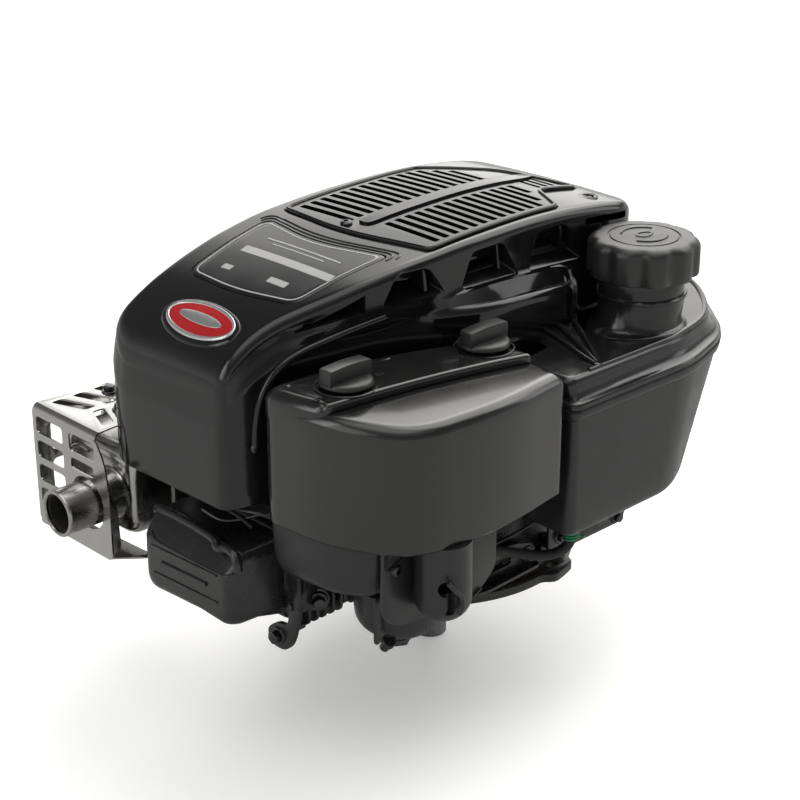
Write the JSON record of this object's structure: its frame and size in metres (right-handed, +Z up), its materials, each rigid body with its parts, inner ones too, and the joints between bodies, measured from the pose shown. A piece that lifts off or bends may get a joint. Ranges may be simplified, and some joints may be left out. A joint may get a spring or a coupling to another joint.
{
  "type": "small gasoline engine",
  "caption": "Vertical-shaft overhead-valve gasoline engine with black cooling shroud, air cleaner, fuel tank, guarded muffler, and working crank, valves, throttle, starter and caps.",
  "frame": {"origin": "centre of the take-off shaft's end face; the mounting flange's underside is 80 mm above it", "axes": "+Z up along the crankshaft, -X towards the cylinder head and muffler, -Y towards the air cleaner and carburettor"},
  "size_m": [0.4656, 0.344, 0.3422],
  "materials": {
    "gloss_black": "glossy moulded black plastic",
    "satin_black": "satin moulded black plastic",
    "knob_grey": "fine-textured dark grey plastic",
    "black_casting": "black painted aluminium casting",
    "black_steel": "black painted pressed steel",
    "bare_alloy": "cast and machined aluminium",
    "machined_steel": "machined steel",
    "stainless": "bright brushed sheet steel",
    "iron": "cast iron",
    "black_rubber": "black rubber",
    "clamp_green": "green coated spring clamp",
    "filter_paper": "pleated paper",
    "plug_ceramic": "white glazed insulator",
    "plate_print": "dark printed plate with a silver edge",
    "badge_metal": "bright metal badge with a dark face"
  },
  "bodies": {
    "engine_block": {"sump": "black_casting", "oil_seal": "black_rubber", "crankcase": "black_casting", "head_gasket": "machined_steel", "cylinder_head": "black_casting", "intake_valve_spring": "machined_steel", "exhaust_valve_spring": "machined_steel", "valve_cover": "black_steel", "spark_plug": "plug_ceramic", "plug_boot": "black_rubber", "ignition_coil": "satin_black", "carburetor_body": "bare_alloy", "float_bowl": "satin_black", "bowl_nut": "machined_steel", "intake_manifold": "satin_black", "air_cleaner_base": "satin_black", "air_filter": "filter_paper", "muffler_body": "stainless", "muffler_outlet": "stainless", "muffler_guard": "stainless", "blower_housing": "gloss_black", "grille_panel": "gloss_black", "model_plate": "plate_print", "nose_badge": "badge_metal", "fuel_tank_lower": "satin_black", "fuel_tank_upper": "gloss_black", "fuel_line": "black_rubber", "hose_clamp": "clamp_green", "starter_frame": "black_steel", "dipstick_tube": "satin_black", "control_bracket": "black_steel", "head_bracket": "black_steel"},
    "crankshaft": {"crankshaft_pto_end": "machined_steel", "crankshaft_flywheel_end": "machined_steel", "crank_gear": "machined_steel", "flywheel": "bare_alloy", "starter_cup": "machined_steel", "flywheel_nut": "machined_steel"},
    "camshaft": {"camshaft": "iron"},
    "piston": {"piston": "bare_alloy", "piston_ring": "iron", "wrist_pin": "machined_steel"},
    "connecting_rod": {"connecting_rod": "bare_alloy"},
    "intake_valve": {"intake_valve": "machined_steel"},
    "exhaust_valve": {"exhaust_valve": "machined_steel"},
    "intake_rocker": {"intake_rocker": "machined_steel"},
    "exhaust_rocker": {"exhaust_rocker": "machined_steel"},
    "intake_pushrod": {"intake_pushrod": "machined_steel"},
    "exhaust_pushrod": {"exhaust_pushrod": "machined_steel"},
    "throttle_shaft": {"throttle_shaft": "machined_steel"},
    "choke_shaft": {"choke_shaft": "machined_steel"},
    "governor_lever": {"governor_lever": "machined_steel"},
    "air_cleaner_cover": {"air_cleaner_cover": "gloss_black"},
    "knob_front": {"knob_front": "knob_grey"},
    "knob_rear": {"knob_rear": "knob_grey"},
    "fuel_cap_liner": {"fuel_cap_liner": "black_rubber"},
    "fuel_cap": {"fuel_cap": "knob_grey"},
    "starter_grip": {"starter_grip": "black_rubber"},
    "starter_pulley": {"starter_pulley": "satin_black"},
    "dipstick": {"dipstick": "satin_black"}
  },
  "joints": [
    {"name": "crank_spin", "type": "hinge", "parent": "engine_block", "child": "crankshaft", "pos_m": [0, 0, 0.08], "axis": [0, 0, 1], "continuous": true},
    {"name": "cam_spin", "type": "hinge", "parent": "engine_block", "child": "camshaft", "pos_m": [0, 0.0495, 0.099], "axis": [0, 0, 1], "continuous": true},
    {"name": "piston_slide", "type": "slide", "parent": "engine_block", "child": "piston", "axis": [1, 0, 0], "range_m": [0, 0.052]},
    {"name": "rod_swing", "type": "hinge", "parent": "piston", "child": "connecting_rod", "pos_m": [-0.114, 0, 0.134], "axis": [0, 0, 1], "range_deg": [-16, 16]},
    {"name": "intake_valve_lift", "type": "slide", "parent": "engine_block", "child": "intake_valve", "axis": [1, 0, 0], "range_m": [0, 0.005]},
    {"name": "intake_rocker_turn", "type": "hinge", "parent": "engine_block", "child": "intake_rocker", "pos_m": [-0.196, 0.02, 0.119], "axis": [0, 0, 1], "range_deg": [0, 10]},
    {"name": "intake_pushrod_slide", "type": "slide", "parent": "engine_block", "child": "intake_pushrod", "axis": [-1, 0, 0], "range_m": [0, 0.005]},
    {"name": "exhaust_valve_lift", "type": "slide", "parent": "engine_block", "child": "exhaust_valve", "axis": [1, 0, 0], "range_m": [0, 0.005]},
    {"name": "exhaust_rocker_turn", "type": "hinge", "parent": "engine_block", "child": "exhaust_rocker", "pos_m": [-0.196, 0.02, 0.148], "axis": [0, 0, 1], "range_deg": [0, 10]},
    {"name": "exhaust_pushrod_slide", "type": "slide", "parent": "engine_block", "child": "exhaust_pushrod", "axis": [-1, 0, 0], "range_m": [0, 0.005]},
    {"name": "throttle_turn", "type": "hinge", "parent": "engine_block", "child": "throttle_shaft", "pos_m": [-0.126, -0.086, 0.159], "axis": [0, 0, 1], "range_deg": [0, 75]},
    {"name": "choke_turn", "type": "hinge", "parent": "engine_block", "child": "choke_shaft", "pos_m": [-0.126, -0.108, 0.159], "axis": [0, 0, 1], "range_deg": [-75, 0]},
    {"name": "governor_turn", "type": "hinge", "parent": "engine_block", "child": "governor_lever", "pos_m": [0.058, -0.114, 0.12], "axis": [0, 1, 0], "range_deg": [0, 20]},
    {"name": "cover_lift", "type": "slide", "parent": "engine_block", "child": "air_cleaner_cover", "axis": [0, 0, 1], "range_m": [0, 0.09]},
    {"name": "knob_front_turn", "type": "hinge", "parent": "air_cleaner_cover", "child": "knob_front", "pos_m": [-0.163, -0.087, 0.2774], "axis": [0, 0, 1], "range_deg": [0, 90]},
    {"name": "knob_rear_turn", "type": "hinge", "parent": "air_cleaner_cover", "child": "knob_rear", "pos_m": [-0.053, -0.101, 0.2774], "axis": [0, 0, 1], "range_deg": [0, 90]},
    {"name": "fuel_cap_lift", "type": "slide", "parent": "engine_block", "child": "fuel_cap_liner", "axis": [0, 0, 1], "range_m": [0, 0.05]},
    {"name": "fuel_cap_turn", "type": "hinge", "parent": "fuel_cap_liner", "child": "fuel_cap", "pos_m": [0.0965, -0.1115, 0.2955], "axis": [0, 0, 1], "range_deg": [0, 90]},
    {"name": "starter_pull", "type": "slide", "parent": "engine_block", "child": "starter_grip", "axis": [0, 1, 0], "range_m": [0, 0.4]},
    {"name": "starter_pulley_turn", "type": "hinge", "parent": "engine_block", "child": "starter_pulley", "pos_m": [0, 0, 0.281], "axis": [0, 0, 1], "range_deg": [-580, 0]},
    {"name": "dipstick_lift", "type": "slide", "parent": "engine_block", "child": "dipstick", "axis": [0, 0, 1], "range_m": [0, 0.12]}
  ],
  "couplings": [
    {"joint": "cam_spin", "follows": "crank_spin", "ratio": -0.5},
    {"joint": "governor_turn", "follows": "throttle_turn", "ratio": 0.25},
    {"joint": "starter_pulley_turn", "follows": "starter_pull", "rad_per_m": -25},
    {"joint": "intake_rocker_turn", "follows": "intake_valve_lift", "rad_per_m": 33},
    {"joint": "intake_pushrod_slide", "follows": "intake_valve_lift", "ratio": 0.88},
    {"joint": "exhaust_rocker_turn", "follows": "exhaust_valve_lift", "rad_per_m": 33},
    {"joint": "exhaust_pushrod_slide", "follows": "exhaust_valve_lift", "ratio": 0.88}
  ]
}
